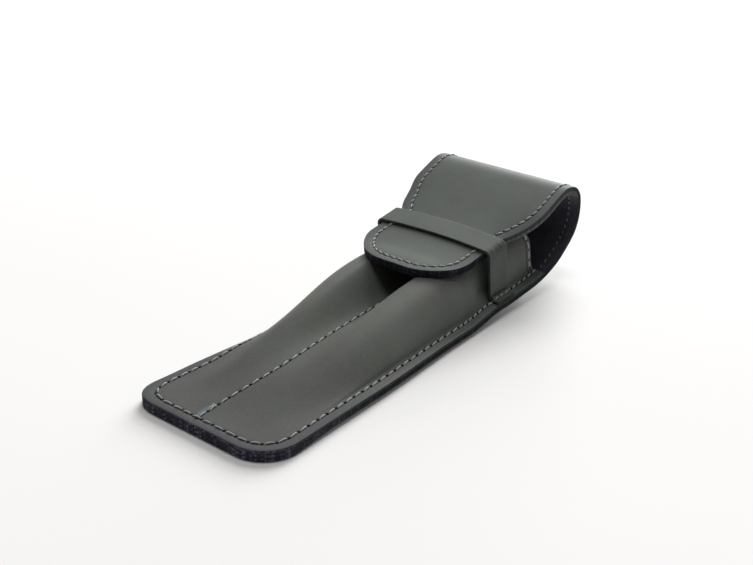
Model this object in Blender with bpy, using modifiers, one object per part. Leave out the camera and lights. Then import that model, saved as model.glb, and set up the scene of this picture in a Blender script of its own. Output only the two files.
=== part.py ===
"""Double pen case: a lined leather strip folded over a front panel moulded into two pen channels.

The back, the fold, the flap and the tongue are one strip in two layers. It is modelled from the
side as one path, and cut where the leather bends when the flap is opened. The front panel is sewn
to it round the edge and down a centre seam, and a strap across the front holds the tongue.
Lengths below are in millimetres. X runs across the case, Y from its bottom end to the fold, Z up.
"""
import math

import bmesh
import bpy
from mathutils import Vector

# The leather
OUTER_THICK = 1.3
LINING_THICK = 1.0
FRONT_THICK = 1.0
STRAP_THICK = 1.0
LAYER_GAP = 0.3

# The case seen from above
CASE_WIDTH = 55.0
CORNER_RADIUS = 12.6
POCKET_LENGTH = 147.0
FLANGE_WIDTH = 4.7
CENTRE_SEAM_SHIFT = -1.5
WAIST_START = 50.0
WAIST_LENGTH = 45.0
WAIST_DRAWN_IN = 1.1
FOLD_SPREAD = 0.8

# The pen channels, above the sewn flange
CHANNEL_START = 6.0
CHANNEL_SLOPE_LENGTH = 90.0
CHANNEL_RISE = 17.2
CHANNEL_FALL_TO_MOUTH = 1.1
VALLEY_RISE = 6.2
ARCH_HALF_WIDTH = 11.0
STEEP_WALL_START = 15.0
STEEP_WALL_END = 85.0
WALL_SQUARENESS = 2.8
FOOT_RADIUS = 1.5
MOUTH_FLARE = 1.2
FLARE_HEIGHT = 8.0

# The back, which lifts off the table towards the fold
LIFT_START = 99.0
LIFT_BEND_LENGTH = 10.0
LIFT_ANGLE = math.radians(8.7)

# The fold
FOLD_DEPTH = 24.6
FOLD_RADIUS = 13.1
CASE_HEIGHT = 38.6
FOLD_ARC = (-62.0, -31.0, 0.0, 30.0, 60.0, 88.0, 112.0)
HINGE_ANGLES = (-62.0, 0.0, 60.0)

# The flap and its tongue
TAPER_LENGTH = 20.0
TONGUE_REACH = 28.5
TIP_CORNER_LENGTH = 18.0
TIP_CORNER_WIDTH = 16.5
TONGUE_DOME = 1.0
CUT_WIDTH = 0.5

# The strap
STRAP_START = 118.8
STRAP_WIDTH = 10.2
STRAP_CORNER = 2.4
STRAP_FOOT_RADIUS = 1.0
TONGUE_SIDE_CLEARANCE = 1.7
FLAP_CLEARANCE = 1.0

# How finely the leather is divided
PATH_STEP = 0.25
TONGUE_KNOTS = 6
NORMAL_STEP = 0.02
LONG_STEP = 8.0
BEND_STEP = 2.6
CORNER_STEPS = 5
FLANK_STEPS = 5
WALL_STEPS = 8
FOOT_STEPS = 3
DOME_STEPS = 8
SHARP_ANGLE = math.radians(40)

# Finishes: a linear colour and a roughness
LEATHER_FINISH = ((0.125, 0.135, 0.120, 1.0), 0.45)
STRAP_FINISH = ((0.110, 0.120, 0.108, 1.0), 0.5)
LINING_FINISH = ((0.006, 0.006, 0.012, 1.0), 0.75)

HALF_WIDTH = CASE_WIDTH / 2
STRIP_THICK = OUTER_THICK + LAYER_GAP + LINING_THICK
FLANGE_TOP = STRIP_THICK + LAYER_GAP + FRONT_THICK
WALL_X = HALF_WIDTH - FLANGE_WIDTH
WAIST_WALL_X = WALL_X * (1.0 - WAIST_DRAWN_IN / HALF_WIDTH)
TONGUE_HALF = WAIST_WALL_X + LAYER_GAP - TONGUE_SIDE_CLEARANCE
STRAP_END = STRAP_START + STRAP_WIDTH
TIP_STATION = STRAP_START - TONGUE_REACH
FLAP_STATION = STRAP_END + FLAP_CLEARANCE


def ease(u):
    """Go from 0 to 1 with level ends, and stay there outside them."""
    u = min(max(u, 0.0), 1.0)
    return u * u * (3.0 - 2.0 * u)


class SidePath:
    """The strip's outer face seen from the side, as a smooth curve through a few (y, z) points."""

    def __init__(self, knots):
        spans = [math.dist(a, b) for a, b in zip(knots, knots[1:])]
        slopes = []
        for i in range(len(knots)):
            before, after = max(i - 1, 0), min(i + 1, len(knots) - 1)
            run = sum(spans[before:after])
            slopes.append([(knots[after][k] - knots[before][k]) / run for k in (0, 1)])
        self.points = [tuple(knots[0])]
        for i, span in enumerate(spans):
            steps = max(2, round(span / PATH_STEP))
            for j in range(1, steps + 1):
                u = j / steps
                weights = (2 * u ** 3 - 3 * u ** 2 + 1, (u ** 3 - 2 * u ** 2 + u) * span,
                           3 * u ** 2 - 2 * u ** 3, (u ** 3 - u ** 2) * span)
                shape = (knots[i], slopes[i], knots[i + 1], slopes[i + 1])
                self.points.append(tuple(sum(w * p[k] for w, p in zip(weights, shape)) for k in (0, 1)))
        self.lengths = [0.0]
        for a, b in zip(self.points, self.points[1:]):
            self.lengths.append(self.lengths[-1] + math.dist(a, b))
        self.total = self.lengths[-1]

    def frame(self, s):
        """Point and direction at a length along the path."""
        s = min(max(s, 0.0), self.total)
        low, high = 0, len(self.lengths) - 1
        while high - low > 1:
            middle = (low + high) // 2
            if self.lengths[middle] > s:
                high = middle
            else:
                low = middle
        a, b = self.points[low], self.points[high]
        span = self.lengths[high] - self.lengths[low]
        u = (s - self.lengths[low]) / span
        before, after = self.points[max(low - 1, 0)], self.points[min(high + 1, len(self.points) - 1)]
        run = math.dist(before, after)
        return (a[0] + (b[0] - a[0]) * u, a[1] + (b[1] - a[1]) * u), \
               ((after[0] - before[0]) / run, (after[1] - before[1]) / run)

    def place(self, s, height):
        """The (y, z) point at a height inside the strip's outer face, square to it."""
        (y, z), (ty, tz) = self.frame(s)
        return y - tz * height, z + ty * height

    def nearest(self, point):
        """Length along the path of the sample nearest a point."""
        gaps = [math.dist(p, point) for p in self.points]
        return self.lengths[gaps.index(min(gaps))]


def crest(s):
    """Height of a channel's crest above the strip's outer face."""
    rise = CHANNEL_RISE * ease((s - CHANNEL_START) / CHANNEL_SLOPE_LENGTH)
    full = CHANNEL_START + CHANNEL_SLOPE_LENGTH
    fall = CHANNEL_FALL_TO_MOUTH * ease((s - full) / (POCKET_LENGTH - full))
    return FLANGE_TOP + rise - fall


def arch(s):
    """How far the centre seam pulls the back up between the two channels."""
    rise = min(max((s - CHANNEL_START) / CHANNEL_SLOPE_LENGTH, 0.0), 1.0)
    return VALLEY_RISE * math.sin(math.pi / 2 * rise)


def back_knots():
    """The back from the bottom end to the mouth: flat on the table, then lifting at an angle."""
    bend_y = LIFT_START + LIFT_BEND_LENGTH
    bend_z = LIFT_BEND_LENGTH * math.tan(LIFT_ANGLE / 2)
    straight = POCKET_LENGTH - bend_y
    knots = [(0.0, 0.0), (LIFT_START / 3, 0.0), (LIFT_START * 2 / 3, 0.0), (LIFT_START, 0.0)]
    for part in (0.5, 1.0):
        knots.append((LIFT_START + LIFT_BEND_LENGTH * part, bend_z * part * part))
    for part in (0.5, 1.0):
        run = straight * part
        knots.append((bend_y + run * math.cos(LIFT_ANGLE), bend_z + run * math.sin(LIFT_ANGLE)))
    return knots


def fold_point(angle):
    """A point of the fold's outer face, at an angle seen from the fold's middle."""
    mouth_y, _ = BACK.points[-1]
    turn = math.radians(angle)
    return (mouth_y + FOLD_DEPTH - FOLD_RADIUS * (1.0 - math.cos(turn)),
            CASE_HEIGHT - FOLD_RADIUS * (1.0 - math.sin(turn)))


def tongue_top(s):
    """Height of the closed tongue's outer face above the back, where it lies on the channels."""
    return crest(s) + LAYER_GAP + dome_drop(WAIST_WALL_X / 2) + STRIP_THICK


def dome_drop(x):
    """How far the domed tongue and strap fall below their middle line."""
    return TONGUE_DOME * (x / TONGUE_HALF) ** 2


def strip_path():
    """The whole strip: back, fold, flap, and the tongue lying on the channels."""
    over = []
    for i in range(TONGUE_KNOTS + 1):
        s = FLAP_STATION + (TIP_STATION - FLAP_STATION) * i / TONGUE_KNOTS
        over.append(BACK.place(s, tongue_top(s)))
    return SidePath(back_knots() + [fold_point(angle) for angle in FOLD_ARC] + over)


BACK = SidePath(back_knots())
PATH = strip_path()
HINGES = [PATH.nearest(fold_point(angle)) for angle in HINGE_ANGLES]
FLAP_END = PATH.nearest(BACK.place(FLAP_STATION, tongue_top(FLAP_STATION)))
# The model's origin is under the middle of the case
MIDDLE_Y = max(y for y, z in PATH.points) / 2


def half_width(s):
    """Half the strip's width: round corners, a waist, the wide fold, and a taper to the tongue."""
    if s < CORNER_RADIUS:
        return HALF_WIDTH - CORNER_RADIUS + math.sqrt(max(0.0, s * (2.0 * CORNER_RADIUS - s)))
    if s < HINGES[0]:
        drawn_in = ease((s - WAIST_START) / WAIST_LENGTH)
        let_out = ease((s - STRAP_START) / (HINGES[0] - STRAP_START))
        return HALF_WIDTH - WAIST_DRAWN_IN * drawn_in + (WAIST_DRAWN_IN + FOLD_SPREAD) * let_out
    from_tip = PATH.total - s
    if from_tip < TIP_CORNER_LENGTH:
        reach = (TIP_CORNER_LENGTH - from_tip) / TIP_CORNER_LENGTH
        return TONGUE_HALF - TIP_CORNER_WIDTH * (1.0 - math.sqrt(max(0.0, 1.0 - reach * reach)))
    taper = min(max((FLAP_END - s) / TAPER_LENGTH, 0.0), 1.0)
    return TONGUE_HALF + (HALF_WIDTH + FOLD_SPREAD - TONGUE_HALF) * math.sin(math.pi / 2 * taper)


def squeeze(s):
    """How much narrower the case is at a station than its full width."""
    return half_width(s) / HALF_WIDTH


def outer_face(s, share):
    """A point on the strip's outer face at a share of its half width: arched at the back, domed at the flap."""
    x = share * half_width(s)
    if s < HINGES[0]:
        fade = 1.0 - ease((s - POCKET_LENGTH) / (HINGES[0] - POCKET_LENGTH))
        off = min(abs(share * HALF_WIDTH - CENTRE_SEAM_SHIFT) / ARCH_HALF_WIDTH, 1.0)
        height = arch(s) * fade * math.cos(off * math.pi / 2) ** 2
    else:
        height = dome_drop(x) * (1.0 - ease((FLAP_END - s) / TAPER_LENGTH))
    return Vector((x, *PATH.place(s, height)))


def strip_point(s, share, depth):
    """A point at a depth inside the strip's outer face, square to it."""
    point = outer_face(s, share)
    if depth == 0.0:
        return point
    across = outer_face(s, share + NORMAL_STEP) - outer_face(s, share - NORMAL_STEP)
    along = outer_face(s + NORMAL_STEP, share) - outer_face(s - NORMAL_STEP, share)
    along.x = 0.0
    return point + across.cross(along).normalized() * depth


def steps_between(start, end, step):
    """Evenly spaced values from start to end."""
    count = max(1, math.ceil((end - start) / step))
    return [start + (end - start) * i / count for i in range(count + 1)]


def corner_stations(radius):
    """Stations along a quarter round, close together where it turns most."""
    return [radius * (1.0 - math.cos(math.pi / 2 * i / CORNER_STEPS)) for i in range(CORNER_STEPS)]


def channel_half(side, s):
    """One half of the front panel's outer section, from the centre seam out to the edge."""
    flange, top, valley = FLANGE_TOP, crest(s), FLANGE_TOP + arch(s)
    wall = side * WALL_X
    ridge = (CENTRE_SEAM_SHIFT + wall) / 2
    points = []
    for i in range(FLANK_STEPS + 1):
        u = i / FLANK_STEPS
        points.append((CENTRE_SEAM_SHIFT + (ridge - CENTRE_SEAM_SHIFT) * u,
                       valley + (top - valley) * ease(u)))
    steep = ease((s - STEEP_WALL_START) / (STEEP_WALL_END - STEEP_WALL_START))
    fillet = min(FOOT_RADIUS * steep, (top - flange) / 2)
    for i in range(1, WALL_STEPS + 1):
        turn = math.pi / 2 * i / WALL_STEPS
        square = (math.sin(turn) ** (2 / WALL_SQUARENESS),
                  max(math.cos(turn), 0.0) ** (2 / WALL_SQUARENESS))
        soft = (i / WALL_STEPS, 1.0 - ease(i / WALL_STEPS))
        across, up = ((1 - steep) * a + steep * b for a, b in zip(soft, square))
        points.append((ridge + (wall - ridge) * across, flange + fillet + (top - flange - fillet) * up))
    for i in range(1, FOOT_STEPS + 1):
        turn = math.pi / 2 * i / FOOT_STEPS
        points.append((wall + side * FOOT_RADIUS * (1.0 - math.cos(turn)),
                       flange + fillet * (1.0 - math.sin(turn))))
    points.append((side * HALF_WIDTH, flange))
    return points


def leather(name, colour, roughness):
    """A plain leather surface."""
    material = bpy.data.materials.new(name)
    material.use_nodes = True
    shader = material.node_tree.nodes["Principled BSDF"]
    shader.inputs["Base Color"].default_value = colour
    shader.inputs["Roughness"].default_value = roughness
    shader.inputs["Metallic"].default_value = 0.0
    return material


def add_hinge(name, collection, point, parent=None):
    """An empty on a bending line, which carries what lies beyond it."""
    hinge = bpy.data.objects.new(name, None)
    hinge.empty_display_size = 0.01
    collection.objects.link(hinge)
    hinge.parent = parent
    hinge.location = point - (parent_place(parent) if parent else Vector())
    return hinge


def parent_place(item):
    """World place of an unrotated chain of parents."""
    place = Vector()
    while item is not None:
        place += item.location
        item = item.parent
    return place


def add_sheet(name, collection, parent, rows, thick, side, finish):
    """Leather of one thickness: a grid laid on rows of points, thickened to one side of them."""
    base = parent_place(parent)
    across, along = len(rows[0]) - 1, len(rows) - 1
    bm = bmesh.new()
    bmesh.ops.create_grid(bm, x_segments=across, y_segments=along, size=0.5)
    for vert in bm.verts:
        row = rows[round((vert.co.y + 0.5) * along)]
        x, y, z = row[round((vert.co.x + 0.5) * across)]
        vert.co = Vector((x, y - MIDDLE_Y, z)) / 1000 - base
    mesh = bpy.data.meshes.new(name)
    bm.to_mesh(mesh)
    bm.free()
    mesh.shade_smooth()
    mesh.set_sharp_from_angle(angle=SHARP_ANGLE)
    mesh.materials.append(leather(name + "_leather", *finish))
    item = bpy.data.objects.new(name, mesh)
    item.parent = parent
    collection.objects.link(item)
    shell = item.modifiers.new("thickness", "SOLIDIFY")
    shell.thickness = thick / 1000
    shell.offset = side
    shell.use_even_offset = True
    shell.use_quality_normals = True
    return item


def strip_columns(arched):
    """Places across the strip as shares of its half width, closer together over the arch."""
    if not arched:
        return [2.0 * i / DOME_STEPS - 1.0 for i in range(DOME_STEPS + 1)]
    middle = CENTRE_SEAM_SHIFT / HALF_WIDTH
    reach = ARCH_HALF_WIDTH / HALF_WIDTH
    return [-1.0] + [middle + reach * i / FLANK_STEPS for i in range(-FLANK_STEPS, FLANK_STEPS + 1)] + [1.0]


def add_strip(collection, bodies):
    """The strip's pieces: back, two fold pieces, flap and tongue, each in two layers."""
    cut = CUT_WIDTH / 2
    case, fold_lower, fold_upper, flap = bodies
    cuts = HINGES + [FLAP_END]
    bends = [steps_between(start + cut, end - cut, BEND_STEP) for start, end in zip(cuts, cuts[1:])]
    back = corner_stations(CORNER_RADIUS) + steps_between(CORNER_RADIUS, POCKET_LENGTH, LONG_STEP)
    back += steps_between(POCKET_LENGTH, HINGES[0] - cut, BEND_STEP)[1:]
    tongue = steps_between(FLAP_END + cut, PATH.total - TIP_CORNER_LENGTH, LONG_STEP / 2)
    tongue += [PATH.total - s for s in reversed(corner_stations(TIP_CORNER_LENGTH))]
    pieces = (("back", case, back), ("fold_lower", fold_lower, bends[0]),
              ("fold_upper", fold_upper, bends[1]), ("flap", flap, bends[2]), ("tongue", flap, tongue))
    layers = (("_outer", 0.0, OUTER_THICK, LEATHER_FINISH),
              ("_lining", OUTER_THICK + LAYER_GAP, LINING_THICK, LINING_FINISH))
    for name, parent, stations in pieces:
        shares = strip_columns(parent is case)
        for layer, depth, thick, finish in layers:
            rows = [[strip_point(s, share, depth) for share in shares] for s in stations]
            add_sheet(name + layer, collection, parent, rows, thick, 1.0, finish)


def mouth_flare(s, x, h):
    """How far the front's lower sides run on past a station, close to the mouth."""
    if abs(x) < WALL_X / 2:
        return 0.0
    late = ease((s - STRAP_END) / (POCKET_LENGTH - STRAP_END))
    return MOUTH_FLARE * late * (1.0 - ease((h - FLANGE_TOP) / FLARE_HEIGHT))


def add_front_panel(collection, parent):
    """The moulded front, from the bottom edge to the mouth."""
    stations = corner_stations(CORNER_RADIUS) + steps_between(CORNER_RADIUS, POCKET_LENGTH, LONG_STEP)
    rows = []
    for s in stations:
        section = channel_half(-1, s)[:0:-1] + channel_half(1, s)
        rows.append([(x * squeeze(s), *PATH.place(s + mouth_flare(s, x, h), h)) for x, h in section])
    add_sheet("front_panel", collection, parent, rows, FRONT_THICK, -1.0, LEATHER_FINISH)


def strap_section(s):
    """The strap's outer section: sewn feet on the flange, upright sides and a domed top."""
    foot = FLANGE_TOP + LAYER_GAP + STRAP_THICK
    side = WALL_X * squeeze(s) + LAYER_GAP + STRAP_THICK
    top = tongue_top(s) + LAYER_GAP + STRAP_THICK
    shoulder = side - STRAP_CORNER
    drop = dome_drop(shoulder)
    half = []
    for i in range(DOME_STEPS // 2):
        x = shoulder * i / (DOME_STEPS // 2)
        half.append((x, top - dome_drop(x)))
    for i in range(CORNER_STEPS + 1):
        turn = math.pi / 2 * i / CORNER_STEPS
        half.append((shoulder + STRAP_CORNER * math.sin(turn),
                     top - drop - STRAP_CORNER * (1.0 - math.cos(turn))))
    for i in range(FOOT_STEPS + 1):
        turn = math.pi / 2 * i / FOOT_STEPS
        half.append((side + STRAP_FOOT_RADIUS * (1.0 - math.cos(turn)),
                     foot + STRAP_FOOT_RADIUS * (1.0 - math.sin(turn))))
    half.append((half_width(s), foot))
    return [(-x, h) for x, h in reversed(half[1:])] + half


def add_strap(collection, parent):
    """The band across the front that the tongue slips under."""
    rows = []
    for s in steps_between(STRAP_START, STRAP_END, STRAP_WIDTH / 2):
        rows.append([(x, *PATH.place(s, h)) for x, h in strap_section(s)])
    add_sheet("strap", collection, parent, rows, STRAP_THICK, -1.0, STRAP_FINISH)


def build():
    """Model the case in an empty scene."""
    for item in list(bpy.data.objects):
        bpy.data.objects.remove(item)
    collection = bpy.data.collections.new("double_pen_case")
    bpy.context.scene.collection.children.link(collection)
    bodies = [add_hinge("case_body", collection, Vector())]
    for name, s in zip(("fold_lower_hinge", "fold_middle_hinge", "fold_upper_hinge"), HINGES):
        (y, z), _ = PATH.frame(s)
        bodies.append(add_hinge(name, collection, Vector((0.0, y - MIDDLE_Y, z)) / 1000, bodies[-1]))
    add_strip(collection, bodies)
    add_front_panel(collection, bodies[0])
    add_strap(collection, bodies[0])
    for name, s in zip(("lower", "middle", "upper"), HINGES):
        (y, z), _ = PATH.frame(s)
        print("hinge line", name, round(y - MIDDLE_Y, 3), round(z, 3))
    print("overall length", round(2 * MIDDLE_Y, 2), "strip length", round(PATH.total, 1))


build()
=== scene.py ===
"""Looks of the double pen case: a folded leather strip, a moulded front and a strap, sewn with grey thread.

Shapes are worked out in millimetres from the same values as the CAD source, in the strip's own terms:
s runs along the strip from the bottom end to the tongue's tip, x across it, and depth into it from
its outer face. Each leather piece is a closed shell with rounded edges, and the threads lie on them.
"""
import math

import bmesh
import bpy
import numpy as np
from mathutils import Matrix, Vector


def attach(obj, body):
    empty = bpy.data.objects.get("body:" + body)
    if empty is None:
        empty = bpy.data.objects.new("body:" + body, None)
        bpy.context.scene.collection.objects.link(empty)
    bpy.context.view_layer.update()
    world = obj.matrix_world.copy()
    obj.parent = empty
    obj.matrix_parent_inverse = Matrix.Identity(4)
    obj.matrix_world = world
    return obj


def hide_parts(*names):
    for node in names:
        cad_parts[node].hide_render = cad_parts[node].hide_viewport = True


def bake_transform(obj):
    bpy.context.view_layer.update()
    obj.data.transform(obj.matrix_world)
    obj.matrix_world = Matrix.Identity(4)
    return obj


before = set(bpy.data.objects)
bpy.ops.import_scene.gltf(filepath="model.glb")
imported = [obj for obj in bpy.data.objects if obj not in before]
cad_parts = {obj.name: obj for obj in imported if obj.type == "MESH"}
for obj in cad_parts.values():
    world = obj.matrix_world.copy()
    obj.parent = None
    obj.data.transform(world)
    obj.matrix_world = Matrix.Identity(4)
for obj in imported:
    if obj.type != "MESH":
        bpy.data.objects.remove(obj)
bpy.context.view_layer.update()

# The leather
OUTER_THICK = 1.3
LINING_THICK = 1.0
FRONT_THICK = 1.0
STRAP_THICK = 1.0
LAYER_GAP = 0.3
EXTRA_THICK = 0.1
LINING_EXTRA = 0.15
DARK_LINE = 0.06
EDGE_ROUND = 0.3
JOINT_ROUND = 0.12
PANEL_ROUND = 0.5
RIM_SHARE = 0.6

# The case seen from above
CASE_WIDTH = 55.0
CORNER_RADIUS = 12.6
POCKET_LENGTH = 147.0
FLANGE_WIDTH = 4.7
CENTRE_SEAM_SHIFT = -1.5
WAIST_START = 50.0
WAIST_LENGTH = 45.0
WAIST_DRAWN_IN = 1.1
FOLD_SPREAD = 0.8

# The pen channels
CHANNEL_START = 6.0
CHANNEL_SLOPE_LENGTH = 90.0
CHANNEL_RISE = 17.2
CHANNEL_FALL_TO_MOUTH = 1.1
VALLEY_RISE = 6.2
ARCH_HALF_WIDTH = 11.0
STEEP_WALL_START = 15.0
STEEP_WALL_END = 85.0
WALL_SQUARENESS = 2.8
FOOT_RADIUS = 1.5
MOUTH_FLARE = 1.2
FLARE_HEIGHT = 8.0

# The back's lift and the fold
LIFT_START = 99.0
LIFT_BEND_LENGTH = 10.0
LIFT_ANGLE = math.radians(8.7)
FOLD_DEPTH = 24.6
FOLD_RADIUS = 13.1
CASE_HEIGHT = 38.6
FOLD_ARC = (-62.0, -31.0, 0.0, 30.0, 60.0, 88.0, 112.0)
HINGE_ANGLES = (-62.0, 0.0, 60.0)

# The flap and its tongue
TAPER_LENGTH = 20.0
TONGUE_REACH = 28.5
TIP_CORNER_LENGTH = 18.0
TIP_CORNER_WIDTH = 16.5
TONGUE_DOME = 1.0

# The strap
STRAP_START = 118.8
STRAP_WIDTH = 10.2
STRAP_CORNER = 2.4
STRAP_FOOT_RADIUS = 1.0
STRAP_SEAM_OUT = 1.1
STRAP_TUCK = 2.7
LEFT_TUCK_SHARE = 0.4
TONGUE_SIDE_CLEARANCE = 1.7
FLAP_CLEARANCE = 1.0

# The stitching
STITCH_INSET = 3.41
STITCH_PITCH = 4.11
FINE_PITCH = 3.05
PITCH_CHANGE = 100.0
FIRST_HOLE = -3.8
THREAD_RADIUS = 0.27
HOLE_RADIUS = 0.64
GROOVE_DEPTH = 0.14
GROOVE_WIDTH = 0.8
MOUTH_SEAM_INSET = 1.9
MOUTH_SEAM_END = 2.5
MOUTH_CLEAR = 1.0
MOUTH_PITCH = 3.2
SEAM_DEPTH = 0.22
SEAM_WIDTH = 0.7
REST_SINK = 0.28
CENTRE_SINK = 0.18
MOUTH_SINK = 0.1
FRONT_SINK = GROOVE_DEPTH * 0.7
LINING_SINK = GROOVE_DEPTH * 0.4 + 0.1
SLANT = -0.25
MOUTH_SLANT = 0.1
ARCH_SINK = 0.05
FLAT_SINK = 0.3
ARCH_CLEAR = 12.0
TAIL_RADIUS = 0.13
LINING_REACH = 0.55

# The hand-cut left side: how far it stands out from an even outline, along the strip
LEFT_STATIONS = (0.0, 4.0, 9.0, 15.0, 19.0, 24.0, 32.0, 38.0, 46.5, 56.0, 72.0, 92.0, 112.0)
LEFT_OUT = (2.3, 1.6, 0.2, -0.2, -0.4, -0.6, -1.2, -1.7, -2.6, -2.7, -2.0, -0.9, 0.0)
LEFT_CORNER_RADIUS = 10.6
LEFT_CURL = 1.8
SEAM_SHIFT = 0.6
SEAM_START_SHIFT = -2.3
SEAM_START_LENGTH = 45.0
RIGHT_SAG = 1.3
FOLD_DRAWN_IN = 1.0
FLAP_FLARE = 2.2
STRAP_STANDS_OUT = 2.0
MOUTH_LEAN = 3.0
UNDER_ROUND = 1.1
EDGE_PINCH = 0.45

# Each difference's start and the run it grows over, across, along or up, or its span along the strip
LEFT_CUT_ACROSS = (10.0, 11.0)
FLAP_FLARE_SPAN = (-13.0, -2.0, 17.0, 32.0)
FOLD_DRAWN_SPAN = (156.0, 170.0, 180.0, 196.0)
FOLD_DRAWN_ACROSS = (10.0, 14.0)
SEAM_SHIFT_ALONG = (100.0, 20.0)
SEAM_SHIFT_REACH = 20.0
BENT_HEIGHT = 12.0
RIGHT_SAG_SPAN = (116.0, 130.0, POCKET_LENGTH, POCKET_LENGTH + 18.0)
RIGHT_SAG_ACROSS = (5.0, 15.0)
LEFT_CURL_SPAN = (26.0, 44.0, 56.0, 78.0)
LEFT_CURL_RISE = 3.6
LEFT_CURL_FALL = (5.0, 10.0)
MOUTH_LEAN_UP = (6.5, 10.0)
MOUTH_LEAN_ACROSS = (12.0, 8.0)
STRAP_OUT_ACROSS = (8.0, 10.0)
STRAP_OUT_UP = (7.0, 9.0)
TUCK_ACROSS = (15.0, 5.0)
TUCK_UP = (0.5, 4.0)
UNDER_ALONG = (8.0, 20.0)
UNDER_END_RUN = 25.0
PINCH_WIDTH = 4.0

# How finely the shapes are divided
PATH_STEP = 0.25
TONGUE_KNOTS = 6
SHARP_ANGLE = math.radians(40)
SMALL_STEP = 0.05
STATION_STEP = 1.25
SEAM_KNOTS = (0.0, 0.02, 0.042, 0.07, 0.11, 0.17)
EDGE_STEPS = (0.7, 1.3, 1.9, 2.5, 2.9, 3.2, 3.5, 3.8, 4.2, 4.8, 5.6)
BORDER = 6.0
FLANGE_BORDER = 2.9
STRAP_BORDER = 2.5
STRAP_END_BORDER = 1.5
INNER_COLUMNS = 25
SIDE_POINTS = 1200
TIP_TURNS = 80
END_POINTS = 60
TIP_POINTS = 20

# Where the front panel's and the strap's flat places start, and a distance at which no seam is near
PANEL_PLACE = 400.0
STRAP_PLACE = 700.0
NO_SEAM = 9.0

# The camera, from the photograph
CAMERA_AZIMUTH = 37.02
CAMERA_ELEVATION = 25.28
CAMERA_ROLL = -1.74
CAMERA_DISTANCE = 408.27
CAMERA_AIM = (-24.54, 29.50, 0.0)
CAMERA_LENS = 52.52

HALF_WIDTH = CASE_WIDTH / 2
STRIP_THICK = OUTER_THICK + LAYER_GAP + LINING_THICK
FLANGE_TOP = STRIP_THICK + LAYER_GAP + FRONT_THICK
WALL_X = HALF_WIDTH - FLANGE_WIDTH
WAIST_WALL_X = WALL_X * (1.0 - WAIST_DRAWN_IN / HALF_WIDTH)
TONGUE_HALF = WAIST_WALL_X + LAYER_GAP - TONGUE_SIDE_CLEARANCE
STRAP_END = STRAP_START + STRAP_WIDTH
TIP_STATION = STRAP_START - TONGUE_REACH
FLAP_STATION = STRAP_END + FLAP_CLEARANCE
FOOT_SPAN = (STRAP_START - 1.2, STRAP_START + 0.6, STRAP_END - 0.6, STRAP_END + 1.2)
TUCK_SPAN = (STRAP_START - 11.0, STRAP_START + 0.5, STRAP_START + 4.0, STRAP_END - 1.0)


def ease(u):
    """Go from 0 to 1 with level ends, and stay there outside them."""
    u = np.clip(u, 0.0, 1.0)
    return u * u * (3.0 - 2.0 * u)


def fade(value, start, run):
    """Go from 0 to 1 over a run, from a start."""
    return ease((value - start) / run)


def bump(value, start, full, last, end):
    """Rise from 0 to 1 between two values, stay, and fall back to 0."""
    return fade(value, start, full - start) * (1.0 - fade(value, last, end - last))


def unit(vectors):
    """The same directions at length one."""
    return vectors / np.maximum(np.linalg.norm(vectors, axis=-1, keepdims=True), 1e-12)


def lengths_along(points):
    """How far along a line each of its points is."""
    return np.concatenate([[0.0], np.cumsum(np.linalg.norm(np.diff(points, axis=0), axis=1))])


def pairs(*values):
    """Values side by side, as points or as the corners of faces."""
    return np.stack(values, -1)


def quarter(count):
    """Evenly spaced angles over a quarter turn."""
    return np.pi / 2 * np.linspace(0.0, 1.0, count)


def slopes(face, s, x):
    """How a face runs along and across at a place, over a small step."""
    along = face(s + SMALL_STEP, x) - face(s - SMALL_STEP, x)
    return along, face(s, x + SMALL_STEP) - face(s, x - SMALL_STEP)


class SidePath:
    """The strip's outer face seen from the side, as a smooth curve through a few (y, z) points."""

    def __init__(self, knots):
        knots = np.array(knots, float)
        spans = np.linalg.norm(np.diff(knots, axis=0), axis=1)
        last = len(knots) - 1
        slopes = []
        for i in range(len(knots)):
            before, after = max(i - 1, 0), min(i + 1, last)
            slopes.append((knots[after] - knots[before]) / spans[before:after].sum())
        parts = [knots[:1]]
        for i, span in enumerate(spans):
            steps = max(2, round(span / PATH_STEP))
            u = (np.arange(1, steps + 1) / steps)[:, None]
            curve = (2 * u ** 3 - 3 * u ** 2 + 1) * knots[i] + (u ** 3 - 2 * u ** 2 + u) * span * slopes[i]
            curve = curve + (3 * u ** 2 - 2 * u ** 3) * knots[i + 1]
            parts.append(curve + (u ** 3 - u ** 2) * span * slopes[i + 1])
        self.points = np.concatenate(parts)
        self.lengths = lengths_along(self.points)
        self.total = float(self.lengths[-1])
        turns = np.gradient(self.points, self.lengths, axis=0)
        self.turns = turns / np.linalg.norm(turns, axis=1, keepdims=True)

    def place(self, s, height):
        """The y and z at a height inside the strip's outer face, square to it."""
        y, z = (np.interp(s, self.lengths, self.points[:, k]) for k in (0, 1))
        ty, tz = (np.interp(s, self.lengths, self.turns[:, k]) for k in (0, 1))
        return y - tz * height, z + ty * height

    def nearest(self, point):
        """Length along the path of the sample nearest a point."""
        gaps = np.linalg.norm(self.points - np.array(point), axis=1)
        return float(self.lengths[gaps.argmin()])


def crest(s):
    """Height of a channel's crest above the strip's outer face."""
    rise = CHANNEL_RISE * fade(s, CHANNEL_START, CHANNEL_SLOPE_LENGTH)
    full = CHANNEL_START + CHANNEL_SLOPE_LENGTH
    return FLANGE_TOP + rise - CHANNEL_FALL_TO_MOUTH * fade(s, full, POCKET_LENGTH - full)


def arch(s):
    """How far the centre seam pulls the back up between the two channels."""
    return VALLEY_RISE * np.sin(np.pi / 2 * np.clip((s - CHANNEL_START) / CHANNEL_SLOPE_LENGTH, 0.0, 1.0))


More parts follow.
